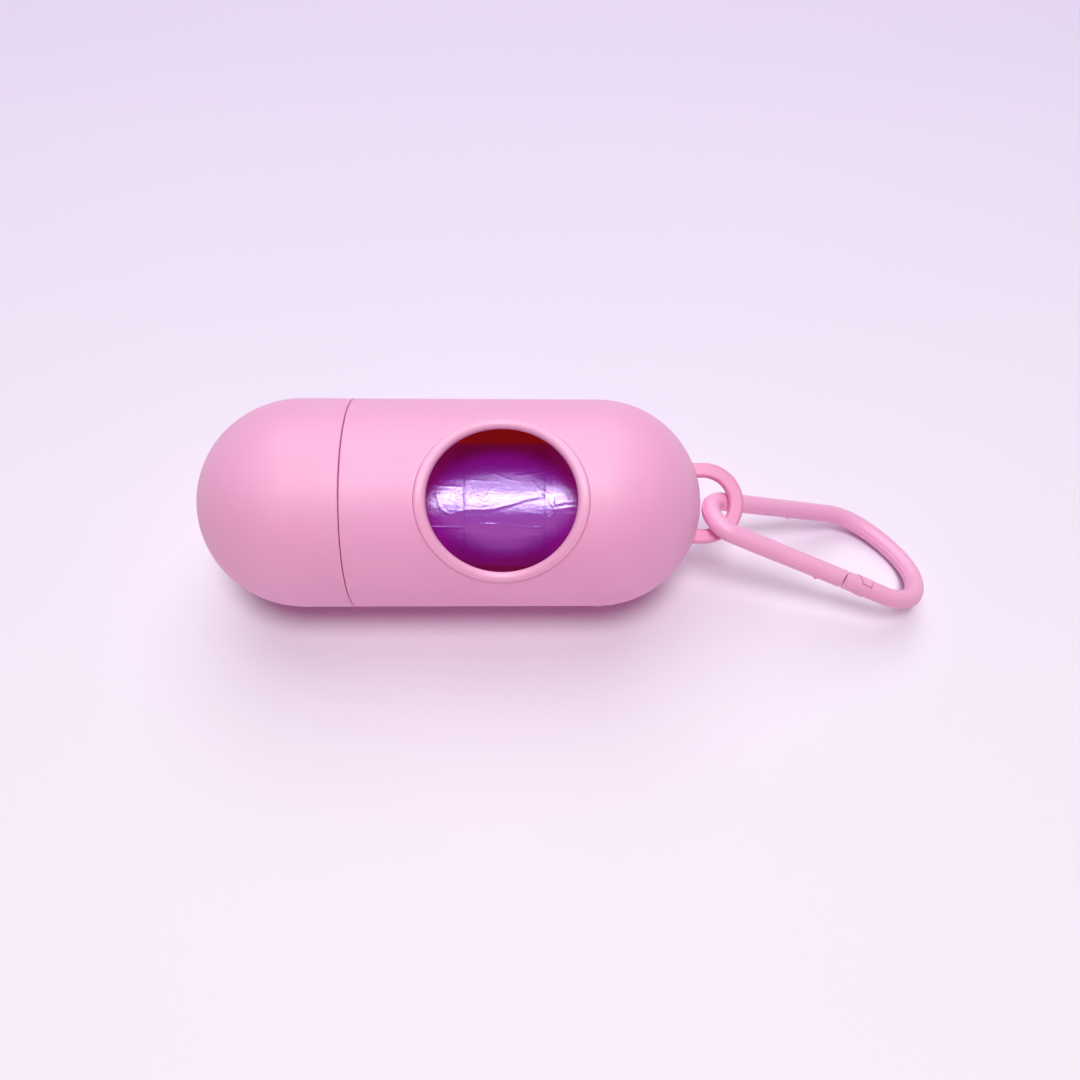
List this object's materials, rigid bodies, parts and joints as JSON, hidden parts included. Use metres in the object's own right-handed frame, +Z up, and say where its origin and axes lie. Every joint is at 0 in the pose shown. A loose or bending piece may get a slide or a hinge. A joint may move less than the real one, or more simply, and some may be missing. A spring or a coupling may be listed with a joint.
{
  "type": "pet waste bag dispenser",
  "caption": "Pocket capsule that holds a roll of small bags, with a pull-off cap, an oval window that they are drawn from, an end loop and a spring clip.",
  "frame": {"origin": "centre of the whole outline's length and width, on the surface that it lies on", "axes": "+X from the cap to the clip along the capsule, +Z up, the window leans to -Y"},
  "size_m": [0.138, 0.038, 0.0385],
  "materials": {
    "shell": "satin",
    "trim": "satin",
    "clip": "satin",
    "film": "thin wound film, glossy with soft creases",
    "core": "plain wound card"
  },
  "bodies": {
    "shell": {"body_shell": "shell", "window_collar": "trim", "end_loop": "trim"},
    "cap": {"cap": "shell"},
    "roll": {"roll_core": "core", "bag_roll": "film", "leading_bag": "film"},
    "carabiner": {"carabiner_frame": "clip"},
    "gate": {"carabiner_gate": "clip"}
  },
  "joints": [
    {"name": "cap_pull", "type": "slide", "parent": "shell", "child": "cap", "axis": [-1, 0, 0], "range_m": [0, 0.016]},
    {"name": "roll_spin", "type": "hinge", "parent": "shell", "child": "roll", "pos_m": [-0.02342, 0, 0.01632], "axis": [1, 0, 0], "continuous": true},
    {"name": "carabiner_swing", "type": "hinge", "parent": "shell", "child": "carabiner", "pos_m": [0.02854, -0.00261, 0.01773], "axis": [0.3747, 0.2669, 0.8879], "range_deg": [-92, 75]},
    {"name": "gate_open", "type": "hinge", "parent": "carabiner", "child": "gate", "pos_m": [0.03188, -0.00777, 0.01787], "axis": [0.3747, 0.2669, 0.8879], "range_deg": [0, 22], "stiffness_Nm_per_rad": 0.02, "springref_deg": -4.58}
  ]
}
